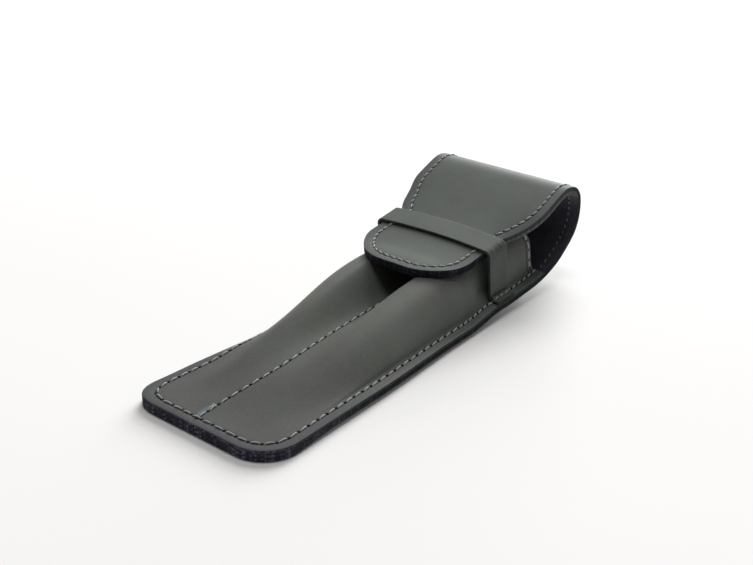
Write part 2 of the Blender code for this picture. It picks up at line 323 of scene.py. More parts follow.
def back_knots():
    """The back from the bottom end to the mouth: flat on the table, then lifting at an angle."""
    bend_y = LIFT_START + LIFT_BEND_LENGTH
    bend_z = LIFT_BEND_LENGTH * math.tan(LIFT_ANGLE / 2)
    straight = POCKET_LENGTH - bend_y
    knots = [(0.0, 0.0), (LIFT_START / 3, 0.0), (LIFT_START * 2 / 3, 0.0), (LIFT_START, 0.0)]
    for part in (0.5, 1.0):
        knots.append((LIFT_START + LIFT_BEND_LENGTH * part, bend_z * part * part))
    for part in (0.5, 1.0):
        run = straight * part
        knots.append((bend_y + run * math.cos(LIFT_ANGLE), bend_z + run * math.sin(LIFT_ANGLE)))
    return knots


def fold_point(angle):
    """A point of the fold's outer face, at an angle seen from the fold's middle."""
    mouth_y = BACK.points[-1][0]
    turn = math.radians(angle)
    return (mouth_y + FOLD_DEPTH - FOLD_RADIUS * (1.0 - math.cos(turn)),
            CASE_HEIGHT - FOLD_RADIUS * (1.0 - math.sin(turn)))


def dome_drop(x):
    """How far the domed tongue and strap fall below their middle line."""
    return TONGUE_DOME * (x / TONGUE_HALF) ** 2


def tongue_top(s):
    """Height of the closed tongue's outer face above the back, where it lies on the channels."""
    return crest(s) + LAYER_GAP + dome_drop(WAIST_WALL_X / 2) + STRIP_THICK


def strip_path():
    """The whole strip: back, fold, flap, and the tongue lying on the channels."""
    over = []
    for i in range(TONGUE_KNOTS + 1):
        s = FLAP_STATION + (TIP_STATION - FLAP_STATION) * i / TONGUE_KNOTS
        over.append(BACK.place(s, tongue_top(s)))
    return SidePath(back_knots() + [fold_point(angle) for angle in FOLD_ARC] + over)


BACK = SidePath(back_knots())
PATH = strip_path()
HINGES = [PATH.nearest(fold_point(angle)) for angle in HINGE_ANGLES]
FLAP_END = PATH.nearest(BACK.place(FLAP_STATION, tongue_top(FLAP_STATION)))
MIDDLE_Y = float(PATH.points[:, 0].max()) / 2
CUTS = [(HINGES[0] + HINGES[1]) / 2, (HINGES[1] + HINGES[2]) / 2]
TIP_ZONE = PATH.total - TIP_CORNER_LENGTH


def half_width(s):
    """Half the strip's width: round corners, a waist, the wide fold, and a taper to the tongue."""
    s = np.asarray(s, float)
    corner = HALF_WIDTH - CORNER_RADIUS + np.sqrt(np.clip(s * (2.0 * CORNER_RADIUS - s), 0.0, None))
    drawn_in = fade(s, WAIST_START, WAIST_LENGTH)
    let_out = fade(s, STRAP_START, HINGES[0] - STRAP_START)
    back = HALF_WIDTH - WAIST_DRAWN_IN * drawn_in + (WAIST_DRAWN_IN + FOLD_SPREAD) * let_out
    taper = np.clip((FLAP_END - s) / TAPER_LENGTH, 0.0, 1.0)
    flap = TONGUE_HALF + (HALF_WIDTH + FOLD_SPREAD - TONGUE_HALF) * np.sin(np.pi / 2 * taper)
    reach = np.clip((s - TIP_ZONE) / TIP_CORNER_LENGTH, 0.0, 1.0)
    tip = TONGUE_HALF - TIP_CORNER_WIDTH * (1.0 - np.sqrt(1.0 - reach * reach))
    return np.select([s < CORNER_RADIUS, s < HINGES[0], s < TIP_ZONE], [corner, back, flap], tip)


def squeeze(s):
    """How much narrower the case is at a station than its full width."""
    return half_width(s) / HALF_WIDTH


def edge_distance(s, x):
    """How far a point of the flat strip is from its cut edge."""
    x = np.abs(x)
    width = half_width(s)
    slope = (half_width(s + SMALL_STEP) - half_width(s - SMALL_STEP)) / (2 * SMALL_STEP)
    side = (width - x) / np.sqrt(1.0 + slope ** 2)
    middle = HALF_WIDTH - CORNER_RADIUS
    corner = np.where(x < middle, s, CORNER_RADIUS - np.hypot(CORNER_RADIUS - s, x - middle))
    along = (s - TIP_ZONE) / TIP_CORNER_LENGTH
    across = (x - TONGUE_HALF + TIP_CORNER_WIDTH) / TIP_CORNER_WIDTH
    reach = np.hypot(along, np.maximum(across, 0.0))
    spread = np.hypot(along / TIP_CORNER_LENGTH, np.maximum(across, 0.0) / TIP_CORNER_WIDTH)
    tip = np.where(across < 0.0, PATH.total - s, (1.0 - reach) * reach / np.maximum(spread, 1e-6))
    found = np.select([s < CORNER_RADIUS, s < TIP_ZONE], [corner, side], tip)
    return np.maximum(found, 0.0)


def hand_cut(s, x):
    """Where an even case's point really lies across it, as it was cut and sewn by hand."""
    out = sum(np.interp(s + step, LEFT_STATIONS, LEFT_OUT) for step in (-2.0, 0.0, 2.0)) / 3
    out = out + FLAP_FLARE * bump(s, *(FLAP_END + step for step in FLAP_FLARE_SPAN))
    shift = -out * fade(-x, *LEFT_CUT_ACROSS)
    shift = shift - FOLD_DRAWN_IN * bump(s, *FOLD_DRAWN_SPAN) * fade(x, *FOLD_DRAWN_ACROSS)
    inside = np.minimum(s, LEFT_CORNER_RADIUS)
    rounded = np.sqrt(np.clip(inside * (2 * LEFT_CORNER_RADIUS - inside), 0.0, None))
    width = half_width(s)
    wider = np.where(s < CORNER_RADIUS, (HALF_WIDTH - LEFT_CORNER_RADIUS + rounded) / width - 1.0, 0.0)
    shift = shift + np.where(x < 0.0, x * wider * np.abs(x) / width, 0.0)
    seam = SEAM_START_SHIFT * (1.0 - ease(s / SEAM_START_LENGTH))
    seam = seam + SEAM_SHIFT * (1.0 - fade(s, *SEAM_SHIFT_ALONG))
    return x + shift + seam * ease(1.0 - np.abs(x - CENTRE_SEAM_SHIFT) / SEAM_SHIFT_REACH)


def hand_bent(s, x, height):
    """How far up a hand-made case's point stands: the right flange hangs, the left one curls."""
    low = 1.0 - fade(height, FLANGE_TOP, BENT_HEIGHT)
    hangs = RIGHT_SAG * bump(s, *RIGHT_SAG_SPAN) * fade(x, *RIGHT_SAG_ACROSS)
    inset = half_width(s) + x
    curls = LEFT_CURL * bump(s, *LEFT_CURL_SPAN) * ease(inset / LEFT_CURL_RISE)
    curls = curls * (1.0 - fade(inset, *LEFT_CURL_FALL))
    return (curls * (x < 0.0) - hangs) * low


def strip_face(s, x):
    """Points on the strip's outer face: arched at the back, domed at the flap."""
    kept = 1.0 - fade(s, POCKET_LENGTH, HINGES[0] - POCKET_LENGTH)
    off = np.minimum(np.abs(x / squeeze(s) - CENTRE_SEAM_SHIFT) / ARCH_HALF_WIDTH, 1.0)
    rise = arch(s) * kept * np.cos(off * np.pi / 2) ** 2
    drop = dome_drop(x) * (1.0 - ease((FLAP_END - s) / TAPER_LENGTH))
    y, z = PATH.place(s, np.where(s < HINGES[0], rise, drop))
    return pairs(hand_cut(s, x) + 0.0 * y, y, z + hand_bent(s, x, 0.0))


def strip_inward(s, x):
    """The direction square to the strip's outer face, into the leather."""
    step = SMALL_STEP
    along = strip_face(np.minimum(s + step, PATH.total), x) - strip_face(np.maximum(s - step, 0.0), x)
    across = strip_face(s, x + step) - strip_face(s, x - step)
    return unit(np.cross(across, along))


def tangents(points, axis):
    """Direction at each point of a grid along one way, from the chords on both sides of it."""
    lines = np.moveaxis(points, axis, 0)
    chords = np.diff(lines, axis=0)
    sizes = np.linalg.norm(chords, axis=-1, keepdims=True)
    ways = chords / np.maximum(sizes, 1e-12)
    middle = unit(ways[:-1] * sizes[1:] + ways[1:] * sizes[:-1])
    first, last = unit(2 * ways[:1] - middle[:1]), unit(2 * ways[-1:] - middle[-1:])
    return np.moveaxis(np.concatenate([first, middle, last]), 0, axis)


def square_to(points):
    """The direction square to a grid of points, up where x goes right and s goes away."""
    along = tangents(points * np.array([0.0, 1.0, 1.0]), 0)
    return unit(np.cross(tangents(points, 1), along))


def near_edge(limit):
    """Distances from a cut edge that follow its rounding, then spread over the stitched border."""
    rounding = [EDGE_ROUND * (1.0 - math.cos(math.radians(a))) for a in (0, 30, 60, 90)]
    return [d for d in (*rounding, *EDGE_STEPS) if d <= limit]


def even(start, end, step):
    """Evenly spaced values after start, up to end."""
    count = max(1, math.ceil((end - start) / step))
    return [start + (end - start) * (i + 1) / count for i in range(count)]


def strip_stations():
    """Places along the strip, close together at its ends and at the two cuts."""
    start = near_edge(BORDER)
    end = [PATH.total - d for d in reversed(start)]
    stations = list(start)
    for cut in CUTS:
        stations += even(stations[-1], cut - SMALL_STEP, STATION_STEP) + [cut, cut + SMALL_STEP]
    return np.array(stations + even(stations[-1], end[0], STATION_STEP)[:-1] + end)


def strip_grid(stations):
    """Places across the strip at each station, in rows."""
    offsets = np.array(near_edge(BORDER))
    width = half_width(stations)[:, None]
    shrink = np.minimum(width / (2 * BORDER), 1.0)
    left = -width + offsets * shrink
    inner = width - offsets[-1] * shrink
    shares = np.linspace(-1.0, 1.0, INNER_COLUMNS)[1:-1]
    return np.concatenate([left, inner * shares, -left[:, ::-1]], axis=1)


def corner_drop(distance, radius):
    """How far a rounded edge lies below the face, by the distance from the edge."""
    inside = np.clip(radius - distance, 0.0, radius)
    return radius - np.sqrt(radius ** 2 - inside ** 2)


def groove(distance):
    """How far the stitching pulls the leather in, by the distance from the edge."""
    return GROOVE_DEPTH * np.exp(-((distance - STITCH_INSET) / GROOVE_WIDTH) ** 2)


def add_values(mesh, name, kind, field, values):
    """Keep one value for each vertex, for the materials to read."""
    attribute = mesh.attributes.new(name, kind, "POINT")
    attribute.data.foreach_set(field, np.asarray(values, np.float32).ravel())


def new_mesh(name, points, faces, kinds, flat):
    """A mesh through points in millimetres, with its faces' materials and its points' flat places."""
    mesh = bpy.data.meshes.new(name)
    place = (np.array(points) - np.array([0.0, MIDDLE_Y, 0.0])) / 1000
    mesh.from_pydata(place.tolist(), [], faces)
    mesh.polygons.foreach_set("material_index", kinds)
    add_values(mesh, "flat_place", "FLOAT_VECTOR", "vector", flat)
    return mesh


def new_object(name, data):
    """A new object in the scene."""
    item = bpy.data.objects.new(name, data)
    bpy.context.scene.collection.objects.link(item)
    return item


def finish_mesh(name, mesh):
    """Turn the faces outward, smooth them and make the object."""
    bm = bmesh.new()
    bm.from_mesh(mesh)
    bmesh.ops.recalc_face_normals(bm, faces=bm.faces)
    bm.to_mesh(mesh)
    bm.free()
    mesh.shade_smooth()
    mesh.set_sharp_from_angle(angle=SHARP_ANGLE)
    return new_object(name, mesh)


def closed_faces(rows, columns):
    """A grid's own faces, and those of a closed shell: the grid, one behind it, and walls round both."""
    index = np.arange(rows * columns).reshape(rows, columns)
    quads = pairs(index[:-1, :-1], index[1:, :-1], index[1:, 1:], index[:-1, 1:]).reshape(-1, 4)
    shift = rows * columns
    loop = np.concatenate([index[0], index[1:, -1], index[-1, -2::-1], index[-2:0:-1, 0]])
    after = np.roll(loop, -1)
    walls = pairs(loop, after, after + shift, loop + shift)
    return quads, np.concatenate([quads, quads[:, ::-1] + shift, walls])


def shell(name, top, inward, thick, distance, flat, sink, low_sink=0.0, rounding=EDGE_ROUND, seam=None):
    """A closed leather piece: a grid of points thickened inward, its cut edges rounded."""
    depths = (corner_drop(distance, rounding) + sink, thick - corner_drop(distance, JOINT_ROUND) - low_sink)
    points = np.concatenate([(top + inward * depth[..., None]).reshape(-1, 3) for depth in depths])
    flats = np.concatenate([np.concatenate([flat, depth[..., None]], -1).reshape(-1, 3) for depth in depths])
    quads, faces = closed_faces(*distance.shape)
    near = distance.ravel()[quads].max(axis=1) < EDGE_ROUND * RIM_SHARE
    kinds = np.concatenate([near, near, np.ones(len(faces) - 2 * len(quads), bool)]).astype(np.int32)
    mesh = new_mesh(name, points, faces.tolist(), kinds, flats)
    seam = np.full(distance.shape, NO_SEAM) if seam is None else seam
    for title, values in (("edge_distance", distance), ("seam_distance", seam)):
        add_values(mesh, title, "FLOAT", "value", np.concatenate([values.ravel()] * 2))
    return finish_mesh(name, mesh)


def dress(item, slot, *materials):
    """Give a piece its materials; its slot is not used."""
    for material in materials:
        item.data.materials.append(material)
    return item


FOLD_BLENDS = (("case", "fold_lower", HINGES[0] - 8.0, CUTS[0] - 1.2),
               ("fold_lower", "fold_upper", CUTS[0] + 1.4, CUTS[1] - 1.4),
               ("fold_upper", "flap", CUTS[1] + 1.4, HINGES[2] + 7.0))


def model_point(s):
    """A point of the strip's outer face in the model's frame, in metres."""
    y, z = PATH.place(s, 0.0)
    return 0.0, (float(y) - MIDDLE_Y) / 1000, float(z) / 1000


def follow_fold(item, part):
    """Bake one of the strip's three parts' placement into its mesh; the ends of its fold blend are worked
    out but not used.
    """
    first, second, start, end = FOLD_BLENDS[part]
    model_point(start)
    model_point(end)
    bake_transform(item)


def under_side(s):
    """Where the underside's long edges are worn round: along the back, away from its end and the fold."""
    return fade(s, *UNDER_ALONG) * (1.0 - fade(s, POCKET_LENGTH, UNDER_END_RUN))


def add_strip():
    """The strip's outer leather and its lining, each in three parts that meet in the fold."""
    stations = strip_stations()
    x = strip_grid(stations)
    s = stations[:, None] + 0.0 * x
    face, inward, distance, flat = strip_face(s, x), strip_inward(s, x), edge_distance(s, x), pairs(x, s)
    worn, sink = under_side(s), groove(distance)
    zero = 0.0 * sink
    pinched = sink + worn * EDGE_PINCH * (1.0 - ease(distance / PINCH_WIDTH))
    bounds = [0] + [int(np.abs(stations - cut).argmin()) for cut in CUTS] + [len(stations) - 1]
    nodes = (("back", "fold_lower"), ("fold_lower", "fold_upper"), ("fold_upper", "flap", "tongue"))
    below = OUTER_THICK + EXTRA_THICK + DARK_LINE
    layers = (
        ("_outer", 0.0, OUTER_THICK + EXTRA_THICK, "outer_leather", (LEATHER, EDGE),
         (pinched, zero, EDGE_ROUND + (UNDER_ROUND - EDGE_ROUND) * worn)),
        ("_lining", below, STRIP_THICK + LINING_EXTRA - below, "lining", (LINING, LINING_EDGE),
         (zero, sink * 0.5, zero + JOINT_ROUND)))
    for part in range(3):
        rows = slice(bounds[part], bounds[part + 1] + 1)
        for layer, depth, thick, slot, look, forms in layers:
            item = shell("strip_" + "abc"[part] + layer, face[rows] + inward[rows] * depth, inward[rows],
                         thick, distance[rows], flat[rows], *(form[rows] for form in forms))
            dress(item, slot, *look)
            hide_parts(*(node + layer for node in nodes[part]))
            follow_fold(item, part)


def channel_half(side, s):
    """One half of the front panel's outer section, from the centre seam out to the edge."""
    top, valley = crest(s), FLANGE_TOP + arch(s)
    wall = side * WALL_X
    ridge = (CENTRE_SEAM_SHIFT + wall) / 2
    u = np.concatenate([SEAM_KNOTS, np.linspace(0.25, 1.0, 10)])
    inner = pairs(CENTRE_SEAM_SHIFT + (ridge - CENTRE_SEAM_SHIFT) * u, valley + (top - valley) * ease(u))
    steep = fade(s, STEEP_WALL_START, STEEP_WALL_END - STEEP_WALL_START)
    fillet = min(FOOT_RADIUS * steep, (top - FLANGE_TOP) / 2)
    turn = quarter(19)[1:]
    power = 2 / WALL_SQUARENESS
    square = (np.sin(turn) ** power, np.maximum(np.cos(turn), 0.0) ** power)
    even_turn = turn / (np.pi / 2)
    soft = (even_turn, 1.0 - ease(even_turn))
    across, up = ((1 - steep) * a + steep * b for a, b in zip(soft, square))
    outer = pairs(ridge + (wall - ridge) * across, FLANGE_TOP + fillet + (top - FLANGE_TOP - fillet) * up)
    turn = quarter(6)[1:]
    foot = pairs(wall + side * FOOT_RADIUS * (1.0 - np.cos(turn)),
                 FLANGE_TOP + fillet * (1.0 - np.sin(turn)))
    out = np.array(near_edge(FLANGE_BORDER)[::-1])
    flange = pairs(side * (HALF_WIDTH - out), np.full(len(out), FLANGE_TOP))
    return np.concatenate([inner, outer, foot, flange])


def mouth_flare(s, x, h):
    """How far the front's lower sides run on past a station, close to the mouth."""
    late = fade(s, STRAP_END, POCKET_LENGTH - STRAP_END)
    flare = MOUTH_FLARE * late * (1.0 - fade(h, FLANGE_TOP, FLARE_HEIGHT))
    lean = MOUTH_LEAN * late * fade(h, *MOUTH_LEAN_UP) * fade(np.abs(x), *MOUTH_LEAN_ACROSS)
    return np.where(np.abs(x) < WALL_X / 2, 0.0, flare) + lean


def panel_section(s):
    """The front panel's outer section at one station, from its left edge to its right."""
    return np.concatenate([channel_half(-1, s)[:0:-1], channel_half(1, s)])


def strap_tuck(s, x, height):
    """How far the strap presses the channels' side walls in, at its near edge."""
    side = np.where(x > 0.0, 1.0, -LEFT_TUCK_SHARE)
    wall = fade(np.abs(x), *TUCK_ACROSS) * fade(height - FLANGE_TOP, *TUCK_UP)
    return STRAP_TUCK * bump(s, *TUCK_SPAN) * side * wall


def panel_grid(stations):
    """The front panel's outer face, in rows, with where each point is across and along."""
    points, flats = [], []
    for s in stations:
        section = panel_section(s)
        x, h = section[:, 0] * squeeze(s), section[:, 1]
        y, z = PATH.place(s + mouth_flare(s, section[:, 0], h), h)
        points.append(pairs(hand_cut(s, x) - strap_tuck(s, x, h), y, z + hand_bent(s, x, h)))
        run = lengths_along(section)
        flats.append(pairs(run - run[len(run) // 2], np.full(len(x), s + PANEL_PLACE), x))
    return np.array(points), np.array(flats)


def add_front_panel():
    """The moulded front with its two channels."""
    start = near_edge(BORDER)
    mouth = [POCKET_LENGTH - d for d in reversed(near_edge(FLANGE_BORDER))]
    stations = np.array(start + even(start[-1], mouth[0], STATION_STEP)[:-1] + mouth)
    points, flat = panel_grid(stations)
    across = flat[..., 2]
    s = stations[:, None] + 0.0 * across
    to_side, to_mouth = edge_distance(s, across), POCKET_LENGTH - s
    distance = np.minimum(to_side, to_mouth)
    seam = np.abs(across / squeeze(s) - CENTRE_SEAM_SHIFT)
    pressed = groove(np.where(to_mouth < FLANGE_BORDER, NO_SEAM, distance))
    pressed = pressed + SEAM_DEPTH * np.exp(-(seam / SEAM_WIDTH) ** 2)
    mouth_seam = np.where(to_side > MOUTH_SEAM_END, np.abs(to_mouth - MOUTH_SEAM_INSET), NO_SEAM)
    seam = np.minimum(np.where(s < STITCH_INSET + 0.3, NO_SEAM, seam), mouth_seam)
    item = shell("front_panel_leather", points, -square_to(points), FRONT_THICK + EXTRA_THICK, distance,
                 flat[..., :2], pressed, rounding=PANEL_ROUND, seam=seam)
    dress(item, "outer_leather", LEATHER, EDGE)
    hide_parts("front_panel")
    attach(item, "case")


FOOT_TURNS = 6
FOOT_POINTS = FOOT_TURNS + len(near_edge(STRAP_BORDER))


def strap_section(s):
    """The strap's outer section: sewn feet on the flange, upright sides and a domed top."""
    foot = FLANGE_TOP + LAYER_GAP + STRAP_THICK
    side = float(WALL_X * squeeze(s)) + LAYER_GAP + STRAP_THICK
    top = float(tongue_top(s)) + LAYER_GAP + STRAP_THICK
    shoulder = side - STRAP_CORNER
    fall = top - dome_drop(shoulder)
    x = np.linspace(0.0, shoulder, 13)[:-1]
    turn = quarter(9)
    upright = np.linspace(fall - STRAP_CORNER, foot + STRAP_FOOT_RADIUS, 12)[1:-1]
    foot_turn = quarter(FOOT_TURNS)
    out = float(half_width(s)) - np.array(near_edge(STRAP_BORDER)[::-1])
    half = np.concatenate([
        pairs(x, top - dome_drop(x)),
        pairs(shoulder + STRAP_CORNER * np.sin(turn), fall - STRAP_CORNER * (1.0 - np.cos(turn))),
        pairs(np.full(len(upright), side), upright),
        pairs(side + STRAP_FOOT_RADIUS * (1.0 - np.cos(foot_turn)),
              foot + STRAP_FOOT_RADIUS * (1.0 - np.sin(foot_turn))),
        pairs(out, np.full(len(out), foot))])
    return np.concatenate([half[:0:-1] * np.array([-1.0, 1.0]), half])


def add_strap():
    """The band across the front that the tongue slips under."""
    ends = near_edge(STRAP_END_BORDER)
    middle = even(STRAP_START + ends[-1], STRAP_END - ends[-1], 1.0)[:-1]
    stations = np.array([STRAP_START + d for d in ends] + middle + [STRAP_END - d for d in reversed(ends)])
    points, flats = [], []
    for s in stations:
        section = strap_section(s)
        x, height = section.T
        y, z = PATH.place(s, height)
        out = STRAP_STANDS_OUT * fade(-x, *STRAP_OUT_ACROSS) * fade(height, *STRAP_OUT_UP)
        points.append(pairs(x - out, y, z + hand_bent(s, x, height)))
        run = lengths_along(section)
        flats.append(pairs(run - run[-1] / 2, np.full(len(run), s + STRAP_PLACE)))
    points, flats = np.array(points), np.array(flats)
    s = stations[:, None] + 0.0 * points[..., 0]
    to_end = np.minimum(s - STRAP_START, STRAP_END - s)
    side = half_width(s) - np.abs(points[..., 0])
    distance = np.maximum(np.minimum(to_end, side), 0.0)
    thick = STRAP_THICK + EXTRA_THICK
    item = shell("strap_leather", points, -square_to(points), thick, distance, flats, 0.0 * distance)
    dress(item, "strap_leather", STRAP_LEATHER, EDGE)
    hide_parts("strap")
    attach(item, "case")


def edge_outline():
    """The strip's right outline in its flat (s, x), from the bottom's middle to the tongue's tip."""
    corner, tip = quarter(END_POINTS)[1:], quarter(TIP_TURNS)[1:]
    s = np.concatenate([np.zeros(END_POINTS), CORNER_RADIUS * (1 - np.cos(corner)),
                        np.linspace(CORNER_RADIUS, TIP_ZONE, SIDE_POINTS)[1:],
                        TIP_ZONE + TIP_CORNER_LENGTH * np.sin(tip), np.full(TIP_POINTS, PATH.total)])
    x = half_width(s)
    x[:END_POINTS] = np.linspace(0.0, HALF_WIDTH - CORNER_RADIUS, END_POINTS)
    x[-TIP_POINTS:] = np.linspace(TONGUE_HALF - TIP_CORNER_WIDTH, 0.0, TIP_POINTS + 1)[1:]
    return pairs(s, x)


def edge_seam():
    """Stitch holes round the strip in its flat (s, x), a closed loop at one inset from the cut edge."""
    right = edge_outline()
    way = unit(np.gradient(right, axis=0))
    inset = right + STITCH_INSET * pairs(way[:, 1], -way[:, 0])
    inset[0] = (STITCH_INSET, 0.0)
    inset[-1] = (PATH.total - STITCH_INSET, 0.0)
    loop = np.concatenate([inset, inset[-2:0:-1] * np.array([1.0, -1.0]), inset[:1]])
    run = lengths_along(loop)
    near, far = float(np.interp(PITCH_CHANGE, inset[:, 0], run[:len(inset)])), run[-1]
    right = np.arange(FIRST_HOLE, near, STITCH_PITCH)
    left = np.arange(FIRST_HOLE - STITCH_PITCH, -near, -STITCH_PITCH)[::-1] + far
    count = round((left[0] - right[-1]) / FINE_PITCH)
    between = right[-1] + (left[0] - right[-1]) * np.arange(1, count) / count
    at = np.concatenate([right, between, left]) % far
    return pairs(*(np.interp(at, run, loop[:, k]) for k in (0, 1)))


def panel_point(s, x, shape, height):
    """A point on the front by its place along and across, how narrow it is there, and its height."""
    y, z = PATH.place(s + float(mouth_flare(s, np.array(x / shape), height)), height)
    return np.array([float(hand_cut(s, x)), float(y), float(z + hand_bent(s, x, height))])


def panel_face(s, x):
    """A point on the front panel's outer face, or on the strap's foot where that lies on it."""
    section = panel_section(s)
    shape = float(squeeze(s))
    if abs(x) > WALL_X * shape:
        x += math.copysign(STRAP_SEAM_OUT * float(bump(s, *FOOT_SPAN)), x)
    height = float(np.interp(x / shape, section[:, 0], section[:, 1]))
    if STRAP_START < s < STRAP_END and abs(x) > WALL_X * shape:
        foot = strap_section(s)[-FOOT_POINTS:]
        height = float(np.interp(abs(x), foot[:, 0], foot[:, 1]))
    return panel_point(s, x, shape, height)


def outside_face(s, x):
    """A point on the strip's outer face."""
    return strip_face(np.array(s), np.array(x))


def inside_face(s, x):
    """A point on the strip's lining."""
    along, across = slopes(outside_face, s, x)
    inward = unit(np.cross(across, along * np.array([0.0, 1.0, 1.0])))
    return outside_face(s, x) + inward * (STRIP_THICK + LINING_EXTRA)


def mouth_face(s, run):
    """A point on the front panel by its distance round the section from the centre seam."""
    section = panel_section(s)
    lengths = lengths_along(section)
    lengths -= lengths[len(lengths) // 2]
    x, h = (float(np.interp(run, lengths, section[:, k])) for k in (0, 1))
    shape = float(squeeze(s))
    return panel_point(s, x * shape, shape, h)


def surface_frame(face, a, b, outward):
    """A face's point and its outward direction at a flat place."""
    along, across = slopes(face, a, b)
    return face(a, b), unit(np.cross(across, along)) * outward


STITCH_SHAPE = ((0.14, -0.3, 0.75), (0.18, 0.0, 0.92), (0.27, 0.17, 1.0), (0.38, 0.24, 1.05),
                (0.5, 0.26, 1.1), (0.62, 0.24, 1.05), (0.73, 0.17, 1.0), (0.82, 0.0, 0.92),
                (0.86, -0.3, 0.75))
THREAD_TAIL = (
    ((7.9, -0.1, -0.1), (8.5, -0.5, 0.15), (9.4, -0.7, 0.25), (10.3, -0.6, 0.2), (11.1, -0.1, 0.0)),
    ((8.2, 0.1, -0.1), (8.9, -0.2, 0.2), (9.8, -0.4, 0.35), (10.5, -0.9, 0.25), (11.2, -1.1, 0.05)),
    ((8.8, -0.7, 0.05), (9.3, -0.3, 0.3), (10.0, 0.0, 0.25), (10.6, 0.2, 0.0)))
HOLE_SHAPE = ((-0.1, 1.0), (0.02, 1.0), (0.035, 0.6))
THREAD_SIDES = 8


class ThreadMesh:
    """Stitches and their holes, gathered into one piece."""

    def __init__(self):
        self.points, self.faces, self.kinds, self.flat = [], [], [], []

    def ring(self, centre, radius, side, over, flat, shift=0.0):
        """A ring of points round a centre, with their places for the material."""
        for k in range(THREAD_SIDES):
            turn = 2 * math.pi * (k + shift) / THREAD_SIDES
            self.points.append(centre + radius * (math.cos(turn) * side + math.sin(turn) * over))
            self.flat.append((flat[0], k * flat[1], flat[2]))

    def skin(self, first, rings, kind):
        """Faces between rings that follow each other, and over both ends."""
        for i in range(rings - 1):
            for k in range(THREAD_SIDES):
                a, b = (first + i * THREAD_SIDES + j % THREAD_SIDES for j in (k, k + 1))
                self.faces.append((a, b, b + THREAD_SIDES, a + THREAD_SIDES))
        for start in (first, first + (rings - 1) * THREAD_SIDES):
            self.faces.append(tuple(range(start, start + THREAD_SIDES)))
        self.kinds += [kind] * (len(self.faces) - len(self.kinds))

    def tube(self, centres, radii, up):
        """One stitch, a thread that dips into its two holes."""
        ways = tangents(np.array(centres)[:, None, :], 0)[:, 0]
        first = len(self.points)
        for i, (centre, way) in enumerate(zip(centres, ways)):
            side = unit(np.cross(way, up))
            self.ring(centre, radii[i], side, np.cross(side, way), (i * 0.4, 0.2, centre[1]))
        self.skin(first, len(centres), 0)

    def hole(self, point, up):
        """A pricked hole, drawn as a dark flat lens on the leather: painted shade of the hole."""
        first = len(self.points)
        side = unit(np.cross(up, np.array([0.3, 0.7, 0.2])))
        over = np.cross(up, side)
        for lift, size in HOLE_SHAPE:
            self.ring(point + up * lift, HOLE_RADIUS * size, side, over, (0.0, 0.0, 0.0), 0.5)
        self.skin(first, len(HOLE_SHAPE), 1)

    def make(self, name, look):
        """The gathered stitches as an object."""
        mesh = new_mesh(name, self.points, self.faces, self.kinds, self.flat)
        return dress(finish_mesh(name, mesh), "thread", look, HOLE_SHADE)


def sew(thread, face, outward, start, end, sink=0.0, slant=SLANT, reach=1.0):
    """One stitch between two holes of a face, lying a little aslant, with the hole it starts from."""
    start, end = np.array(start), np.array(end)
    flat_side = unit(np.array([-(end - start)[1], (end - start)[0]]))
    centres, radii = [], []
    up = surface_frame(face, *((start + end) / 2), outward)[1]
    for share, lift, size in STITCH_SHAPE:
        at = start + (end - start) * (0.5 + (share - 0.5) * reach) + flat_side * slant * (share - 0.5) * 2
        centres.append(face(*at) + up * (lift - sink))
        radii.append(THREAD_RADIUS * size)
    thread.tube(centres, radii, up)
    point, hole_up = surface_frame(face, *start, outward)
    thread.hole(point - hole_up * sink, hole_up)


def add_edge_threads():
    """The seam round the case's edge, seen on the strip's outer face, on its lining and on the front."""
    holes = edge_seam()
    outside, inside, front = [ThreadMesh() for _ in range(3)], [ThreadMesh() for _ in range(3)], ThreadMesh()
    for start, end in zip(holes, np.roll(holes, -1, axis=0)):
        s = (start[0] + end[0]) / 2
        part = int(s > CUTS[0]) + int(s > CUTS[1])
        rests = REST_SINK if s < LIFT_START + LIFT_BEND_LENGTH else 0.0
        sew(outside[part], outside_face, -1.0, start, end, sink=GROOVE_DEPTH + rests)
        if s < POCKET_LENGTH - MOUTH_CLEAR:
            sew(front, panel_face, 1.0, start, end, sink=FRONT_SINK)
        else:
            sew(inside[part], inside_face, 1.0, start, end, sink=LINING_SINK, reach=LINING_REACH)
    for part in range(3):
        follow_fold(outside[part].make("edge_thread_" + "abc"[part], THREAD), part)
        follow_fold(inside[part].make("lining_thread_" + "abc"[part], SHADED_LINING_THREAD), part)
    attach(front.make("front_edge_thread", THREAD), "case")


def add_centre_threads():
    """The seam between the two channels, and the same seam in the arch under the case."""
    front, back = ThreadMesh(), ThreadMesh()
    run = POCKET_LENGTH - MOUTH_SEAM_INSET - STITCH_INSET
    count = round(run / STITCH_PITCH)
    for i in range(count):
        places = [(STITCH_INSET + run * (i + k) / count, CENTRE_SEAM_SHIFT) for k in (0, 1)]
        sew(front, panel_face, 1.0, *places, sink=CENTRE_SINK)
        sew(back, outside_face, -1.0, *places, sink=ARCH_SINK if places[0][0] > ARCH_CLEAR else FLAT_SINK)
    for strand in THREAD_TAIL:
        centres = []
        for s, off, lift in strand:
            point, up = surface_frame(panel_face, s, CENTRE_SEAM_SHIFT + off, 1.0)
            centres.append(point + up * lift)
        front.tube(centres, [TAIL_RADIUS] * len(centres), up)
    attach(front.make("centre_thread", THREAD), "case")
    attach(back.make("back_centre_thread", THREAD), "case")


def add_mouth_thread():
    """The seam that holds the front panel's mouth edge."""
    thread = ThreadMesh()
    s = POCKET_LENGTH - MOUTH_SEAM_INSET
    reach = lengths_along(panel_section(s))[-1] / 2 - STITCH_INSET - MOUTH_CLEAR
    count = round(2 * reach / MOUTH_PITCH)
    for i in range(count):
        start, end = (-reach + 2 * reach * (i + k) / count for k in (0, 1))
        sew(thread, mouth_face, 1.0, (s, start), (s, end), sink=MOUTH_SINK, slant=MOUTH_SLANT)
    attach(thread.make("mouth_thread", THREAD), "case")


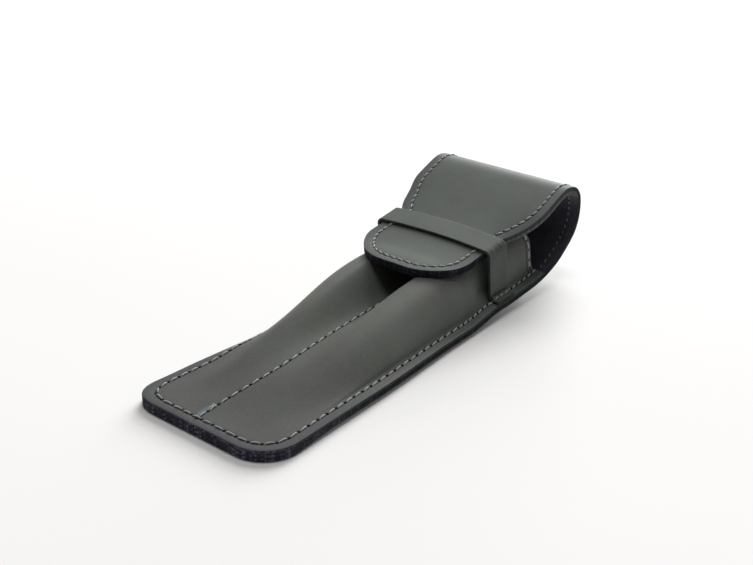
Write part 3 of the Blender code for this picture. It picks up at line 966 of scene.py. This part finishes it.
class Nodes:
    """The nodes of a material or of the world, made and linked by short calls."""

    def __init__(self, owner, shader="Principled BSDF"):
        owner.use_nodes = True
        self.owner = owner
        self.tree = owner.node_tree
        self.shader = self.tree.nodes[shader]

    def fill(self, node, inputs):
        """Set a node's inputs, each to a value or to another node's output."""
        for key, value in inputs.items():
            if isinstance(value, bpy.types.NodeSocket):
                self.tree.links.new(value, node.inputs[key])
            else:
                node.inputs[key].default_value = value
        return node

    def finish(self, inputs):
        """Set the shader's inputs, and give back the material."""
        self.fill(self.shader, inputs)
        return self.owner

    def add(self, kind, inputs, **settings):
        """A node with its settings and its inputs."""
        node = self.tree.nodes.new(kind)
        for key, value in settings.items():
            setattr(node, key, value)
        return self.fill(node, inputs)

    def math(self, operation, a, b=0.5):
        """One sum of two values."""
        return self.add("ShaderNodeMath", {0: a, 1: b}, operation=operation).outputs[0]

    def times(self, a, b):
        """Two values multiplied."""
        return self.math("MULTIPLY", a, b)

    def vector(self, operation, a, b):
        """One sum of two vectors."""
        return self.add("ShaderNodeVectorMath", {0: a, 1: b}, operation=operation).outputs[0]

    def part(self, vector, axis):
        """One part of a vector."""
        return self.add("ShaderNodeSeparateXYZ", {"Vector": vector}).outputs[axis]

    def ramp(self, value, *stops):
        """Colours or greys by a value."""
        node = self.add("ShaderNodeValToRGB", {"Fac": value})
        elements = node.color_ramp.elements
        while len(elements) < len(stops):
            elements.new(0.5)
        for element, (place, colour) in zip(elements, stops):
            element.position = place
            element.color = (*colour, 1.0) if isinstance(colour, tuple) else (colour, colour, colour, 1.0)
        return node.outputs["Color"]

    def mix(self, share, a, b, blend="MIX"):
        """Two colours mixed."""
        inputs = {0: share, 6: a, 7: b}
        return self.add("ShaderNodeMix", inputs, data_type="RGBA", blend_type=blend).outputs[2]

    def kept(self, name, output="Fac"):
        """A value that is kept in the mesh."""
        return self.add("ShaderNodeAttribute", {}, attribute_name=name).outputs[output]

    def flat(self, x=1.0, y=1.0, z=1.0):
        """The piece's flat place in millimetres, stretched."""
        return self.vector("MULTIPLY", self.kept("flat_place", "Vector"), (x, y, z))

    def noise(self, place, scale, detail=3.0, roughness=0.5):
        """Cloudy noise, from 0 to 1."""
        inputs = {"Vector": place, "Scale": scale, "Detail": detail, "Roughness": roughness}
        return self.add("ShaderNodeTexNoise", inputs).outputs["Fac"]

    def bump(self, height, distance, strength):
        """Let a height dent the surface by up to a distance in metres."""
        inputs = {"Height": height, "Distance": distance, "Strength": strength}
        self.fill(self.shader, {"Normal": self.add("ShaderNodeBump", inputs).outputs["Normal"]})


def new_material(name):
    """A new material's nodes."""
    return Nodes(bpy.data.materials.new(name))


def glue_mark(nodes, colour):
    """A pale smear of glue at the lower end of the centre seam."""
    place = nodes.vector("MULTIPLY", nodes.vector("SUBTRACT", nodes.flat(), GLUE_PLACE), GLUE_SHAPE)
    ball = nodes.add("ShaderNodeTexGradient", {"Vector": place}, gradient_type="SPHERICAL").outputs["Fac"]
    ragged = nodes.math("ADD", ball, nodes.times(nodes.noise(nodes.flat(), 1.6, 4.0), 0.5))
    return nodes.mix(nodes.ramp(ragged, (0.5, 0.0), (0.85, 0.8)), colour, GLUE)


def creases(nodes, place):
    """Fine wrinkles where the strap bends over the case's edge, from 0 to 1."""
    across = nodes.math("ABSOLUTE", nodes.part(place, "X"))
    near = nodes.times(nodes.math("ABSOLUTE", nodes.math("SUBTRACT", across, SHOULDER_RUN)), 0.1)
    share = nodes.ramp(near, (0.0, 1.0), (0.38, 0.0))
    lines = nodes.noise(nodes.flat(0.20, 2.0, 0.0), 1.0, 3.0, 0.55)
    return nodes.times(nodes.ramp(lines, (0.47, 0.0), (0.56, 1.0)), share)


def along_piece(nodes, stops):
    """Colours or greys by the place along the piece, in millimetres."""
    metres = nodes.flat(0.001, 0.001, 0.001)
    return nodes.ramp(nodes.part(metres, "Y"), *((s / 1000, colour) for s, colour in stops))


def tone_with_painted_shade(nodes, place, tones, mottle, edge):
    """The leather's colour: tones along the piece, partly its own and partly painted shade and light, with
    slow clouds, fine mottling, a cooler rim and a worn border.
    """
    cloud = nodes.ramp(nodes.noise(place, 0.06, 4.0, 0.55), *CLOUDS)
    # The tones along the piece paint shade and light part by part, on top of the leather's own tone
    colour = nodes.mix(1.0, along_piece(nodes, tones), cloud, "MULTIPLY")
    colour = nodes.mix(0.10, colour, nodes.ramp(mottle, (0.3, 0.03), (0.7, 0.24)))
    rim = nodes.ramp(nodes.times(edge, 0.28), (0.0, 0.75), (1.0, 0.0))
    colour = nodes.mix(nodes.times(rim, along_piece(nodes, RIM_SHARES)), colour, RIM_TINT)
    worn = nodes.times(nodes.ramp(edge, (0.0, 1.0), (1.0, 0.0)), nodes.noise(place, 0.9, 4.0))
    return nodes.mix(nodes.times(worn, 0.5), colour, WORN_TINT)


def seam_shade_lines(nodes, colour, edge):
    """The colour with dark lines along the stitching, where it pulls the leather in: painted shade of the
    grooves, with some dirt.
    """
    inset = nodes.math("ABSOLUTE", nodes.math("SUBTRACT", edge, STITCH_INSET))
    near = nodes.math("MINIMUM", inset, nodes.kept("seam_distance"))
    return nodes.mix(nodes.ramp(near, (0.0, 0.75), (0.62, 0.0)), colour, SEAM_SHADE_TINT)


def leather(name, tones, rough, strap=False):
    """Smooth dyed leather with a fine closed grain, sewn and glued, or creased where it is the strap."""
    nodes = new_material(name)
    place = nodes.flat()
    mottle = nodes.noise(place, 1.1, 5.0, 0.6)
    edge = nodes.kept("edge_distance")
    colour = tone_with_painted_shade(nodes, place, tones, mottle, edge)
    cells = nodes.add("ShaderNodeTexVoronoi", {"Vector": place, "Scale": 1.7}, feature="DISTANCE_TO_EDGE")
    grain = nodes.ramp(cells.outputs["Distance"], (0.0, 0.0), (0.16, 1.0))
    height = nodes.math("ADD", nodes.times(grain, 0.5), nodes.times(nodes.noise(place, 5.5), 0.5))
    if strap:
        wrinkles = creases(nodes, place)
        # Painted shade darkens the strap's creases, which are also bumped below
        colour = nodes.mix(nodes.times(wrinkles, 0.6), colour, CREASE_SHADE_TINT)
        height = nodes.math("SUBTRACT", height, nodes.times(wrinkles, 5.0))
    else:
        colour = glue_mark(nodes, seam_shade_lines(nodes, colour, edge))
    nodes.bump(height, 0.00004, 0.5)
    roughness = nodes.math("ADD", nodes.times(mottle, 0.12), rough - 0.06)
    return nodes.finish({"Base Color": colour, "Roughness": roughness, "Specular IOR Level": 0.10})


def cut_edge(name, zones):
    """Cut leather, with paler fibres drawn through it, in zones along the strip of two tones each."""
    nodes = new_material(name)
    sway = nodes.add("ShaderNodeTexNoise", {"Vector": nodes.flat(), "Scale": 0.45}).outputs["Color"]
    wander = nodes.vector("ADD", nodes.flat(0.8, 0.8, 0.45), sway)
    fibres = nodes.noise(wander, 1.6, 6.0, 0.72)
    patches = nodes.ramp(nodes.noise(nodes.flat(0.3, 0.3, 0.6), 1.0), (0.44, 0.0), (0.58, 0.85))
    low, high = (along_piece(nodes, [(s, tones[k]) for s, tones in zones]) for k in (0, 1))
    colour = nodes.mix(nodes.ramp(fibres, (0.47, 0.0), (0.68, 1.0)), low, high)
    nodes.bump(fibres, 0.00022, 0.9)
    colour = nodes.mix(patches, colour, low)
    return nodes.finish({"Base Color": colour, "Roughness": 0.75, "Specular IOR Level": 0.06})


def suede(name):
    """Navy-black suede: short nap with paler brushed patches."""
    nodes = new_material(name)
    nap = nodes.noise(nodes.flat(), 3.0, 6.0, 0.7)
    patches = nodes.noise(nodes.flat(), 0.12)
    brushed = nodes.math("ADD", nodes.times(nap, 0.6), nodes.times(patches, 0.4))
    nodes.bump(nap, 0.00012, 0.7)
    return nodes.finish({"Base Color": nodes.ramp(brushed, *SUEDE), "Roughness": 0.92,
                         "Specular IOR Level": 0.2, "Sheen Weight": 0.2, "Sheen Roughness": 0.5})


def thread_look(name, level):
    """Waxed grey thread, twisted, and darker towards the case's bottom end."""
    nodes = new_material(name)
    inputs = {"Vector": nodes.flat(1.0, 1.0, 0.0), "Scale": 2.2}
    wave = nodes.add("ShaderNodeTexWave", inputs).outputs["Fac"]
    wear = nodes.noise(nodes.flat(), 3.0, 2.0)
    dark, pale = (tuple(part * level for part in tone) for tone in THREAD_TONES)
    twist = nodes.ramp(wave, (0.0, dark), (0.5, pale))
    # Darker towards the bottom end, full level towards the fold
    along = nodes.part(nodes.flat(0.001, 0.001, 0.001), "Z")
    twist = nodes.mix(1.0, twist, nodes.ramp(along, (0.012, 0.62), (0.055, 0.85), (0.110, 1.0)), "MULTIPLY")
    nodes.bump(wave, 0.00006, 0.8)
    colour = nodes.mix(nodes.times(wear, 0.35), twist, (*dark, 1.0))
    return nodes.finish({"Base Color": colour, "Roughness": 0.55})


def hole_shade_look(name):
    """The painted shade of a pricked hole, nearly black."""
    nodes = new_material(name)
    dark = nodes.ramp(nodes.noise(nodes.flat(), 4.0, 2.0), (0.3, 0.001), (0.7, 0.004))
    return nodes.finish({"Base Color": dark, "Roughness": 0.95, "Specular IOR Level": 0.1})


def add_camera():
    """The camera at the photograph's angle."""
    azimuth, elevation, roll = (math.radians(a) for a in (CAMERA_AZIMUTH, CAMERA_ELEVATION, CAMERA_ROLL))
    forward = Vector((-math.sin(azimuth) * math.cos(elevation), math.cos(azimuth) * math.cos(elevation),
                      -math.sin(elevation)))
    right = forward.cross(Vector((0.0, 0.0, 1.0))).normalized()
    down = forward.cross(right)
    turned_right = math.cos(roll) * right + math.sin(roll) * down
    turned_down = -math.sin(roll) * right + math.cos(roll) * down
    data = bpy.data.cameras.new("camera")
    data.lens = CAMERA_LENS
    data.clip_start = 0.01
    data.clip_end = 20.0
    camera = new_object("camera", data)
    place = (Vector(CAMERA_AIM) - CAMERA_DISTANCE * forward) / 1000
    turn = Matrix((turned_right, -turned_down, -forward)).transposed()
    camera.matrix_world = Matrix.Translation(place) @ turn.to_4x4()
    bpy.context.scene.camera = camera


def white_rays(nodes):
    """1 for the camera's rays and for reflected and refracted ones, so that they meet white."""
    path = nodes.add("ShaderNodeLightPath", {})
    total = path.outputs["Is Camera Ray"]
    for name in ("Is Glossy Ray", "Is Transmission Ray"):
        total = nodes.math("MAXIMUM", total, path.outputs[name])
    return total


def add_world():
    """White surroundings, at a level that lights softly from all round."""
    world = bpy.data.worlds.new("studio")
    bpy.context.scene.world = world
    nodes = Nodes(world, "Background")
    seen = white_rays(nodes)
    level = nodes.add("ShaderNodeMapRange", {"Value": seen, "To Min": WORLD_LEVEL, "To Max": 1.0})
    nodes.finish({"Color": nodes.mix(seen, SHADE_TINT, WHITE), "Strength": level.outputs["Result"]})


def add_floor():
    """A plain white table."""
    mesh = bpy.data.meshes.new("floor")
    corners = [(x * FLOOR_REACH, y * FLOOR_REACH, FLOOR_Z) for x, y in ((-1, -1), (1, -1), (1, 1), (-1, 1))]
    mesh.from_pydata(corners, [], [(0, 1, 2, 3)])
    nodes = new_material("white_table")
    place = nodes.add("ShaderNodeTexCoord", {}).outputs["Object"]
    away = nodes.add("ShaderNodeVectorMath", {0: place}, operation="LENGTH").outputs["Value"]
    glow = nodes.ramp(nodes.times(away, 0.25), (0.08, TABLE_WHITE), (0.45, 1.0))
    paper = nodes.ramp(nodes.noise(place, 6.0, 2.0), (0.0, (0.96, 0.955, 0.95)), (1.0, (0.98, 0.98, 0.975)))
    mesh.materials.append(nodes.finish({
        "Base Color": paper, "Roughness": 0.9, "Specular IOR Level": 0.0, "Emission Color": WHITE,
        "Emission Strength": nodes.times(white_rays(nodes), glow)}))
    floor = new_object("floor", mesh)


def add_lamp(name, direction, size, level):
    """One soft round lamp, giving a share of the table's light at the object."""
    way = Vector(direction).normalized()
    data = bpy.data.lights.new(name, "AREA")
    data.shape = "DISK"
    data.size = size
    data.energy = level * math.pi ** 2 * LAMP_DISTANCE ** 2 / way.z
    lamp = new_object(name, data)
    lamp.location = way * LAMP_DISTANCE
    lamp.rotation_euler = (-way).to_track_quat("-Z", "Y").to_euler()


# The light and the table
WHITE = (1.0, 1.0, 1.0, 1.0)
WORLD_LEVEL = 0.09
SHADE_TINT = (1.0, 0.94, 0.90, 1.0)
LAMP_DISTANCE = 3.0
LAMPS = (("overhead", (0.05, -0.05, 1.0), 1.5, 0.25),
         ("window_high", (-0.22, 0.64, 0.78), 1.7, 0.38),
         ("window_low", (-0.22, 0.88, 0.33), 1.9, 0.32))
TABLE_WHITE = 0.05
FLOOR_Z = -0.0002
FLOOR_REACH = 4.0

# The leather's colours, by the place along the piece; the front panel's own places start at 400. The tones
# are partly the leather's own and partly painted shade and light: darker at the bottom end, on the tongue
# and on the strap, lighter on the front's middle and on the flap.
WARM = (0.102, 0.107, 0.101)
FRONT = (0.170, 0.187, 0.168)
HIGH = (0.134, 0.152, 0.136)
FLAP = (0.153, 0.175, 0.162)
TONGUE = (0.095, 0.112, 0.096)
OUTER_TONES_WITH_SHADE = ((0.0, WARM), (60.0, HIGH), (HINGES[2], FLAP), (FLAP_END, FLAP), (FLAP_END + 14.0, TONGUE),
               (402.0, WARM), (424.0, WARM), (465.0, FRONT), (510.0, HIGH))
CLOUDS = ((0.3, (0.85, 0.77, 0.79)), (0.7, (0.97, 1.0, 0.98)))
RIM_SHARES = ((20.0, 1.0), (45.0, 0.0), (400.0, 1.0), (428.0, 1.0), (452.0, 0.1))
RIM_TINT = (0.060, 0.060, 0.075, 1.0)
WORN_TINT = (0.17, 0.175, 0.19, 1.0)
# Painted shade, with some dirt, along the stitch grooves
SEAM_SHADE_TINT = (0.010, 0.012, 0.012, 1.0)
# Painted shade in the strap's creases
CREASE_SHADE_TINT = (0.020, 0.024, 0.023, 1.0)
SHOULDER_RUN = 23.5
GLUE = (0.17, 0.205, 0.245, 1.0)
GLUE_PLACE = (-0.9, 407.2, 0.0)
GLUE_SHAPE = (0.55, 0.19, 0.0)

# The cut edges' zones, each with its dark and its pale tone
DYED = ((0.021, 0.021, 0.030), (0.230, 0.228, 0.285))
SHADED = ((0.006, 0.006, 0.009), (0.058, 0.060, 0.076))
RUBBED = ((0.036, 0.043, 0.041), (0.090, 0.100, 0.098))
# The flap's lining edge: pale edge paint, partly painted light where the lamps strike it
PALE_AND_LIT = ((0.080, 0.084, 0.086), (0.240, 0.250, 0.255))
EDGE_ZONES = ((6.0, DYED), (24.0, RUBBED), (150.0, RUBBED), (166.0, SHADED), (HINGES[2] - 6.0, SHADED),
              (HINGES[2] + 6.0, RUBBED), (FLAP_END, RUBBED), (FLAP_END + 10.0, SHADED), (400.0, DYED),
              (412.0, RUBBED))
LINING_ZONES = ((0.0, DYED), (60.0, SHADED), (HINGES[2] - 8.0, SHADED), (HINGES[2] + 2.0, PALE_AND_LIT),
                (FLAP_END, PALE_AND_LIT), (FLAP_END + 8.0, SHADED))
SUEDE = ((0.35, (0.026, 0.026, 0.036)), (0.65, (0.068, 0.069, 0.090)))
THREAD_TONES = ((0.25, 0.27, 0.275), (0.48, 0.50, 0.505))

LEATHER = leather("outer_leather", OUTER_TONES_WITH_SHADE, 0.58)
# The strap takes the tongue's darker tone, partly painted shade
STRAP_LEATHER = leather("strap_leather", ((0.0, TONGUE), (1000.0, TONGUE)), 0.60, strap=True)
EDGE = cut_edge("cut_edge", EDGE_ZONES)
LINING_EDGE = cut_edge("lining_edge", LINING_ZONES)
LINING = suede("lining_suede")
THREAD = thread_look("thread", 1.35)
# The lining's thread is the same grey thread at under half the level: painted shade on the lining side
SHADED_LINING_THREAD = thread_look("lining_thread", 0.6)
# Needle holes are flat lenses painted dark as their shade
HOLE_SHADE = hole_shade_look("needle_hole_shade")

add_strip()
add_front_panel()
add_strap()
add_edge_threads()
add_centre_threads()
add_mouth_thread()

add_floor()
add_world()
for lamp_values in LAMPS:
    add_lamp(*lamp_values)
add_camera()

scene = bpy.context.scene
scene.view_settings.view_transform = "Standard"
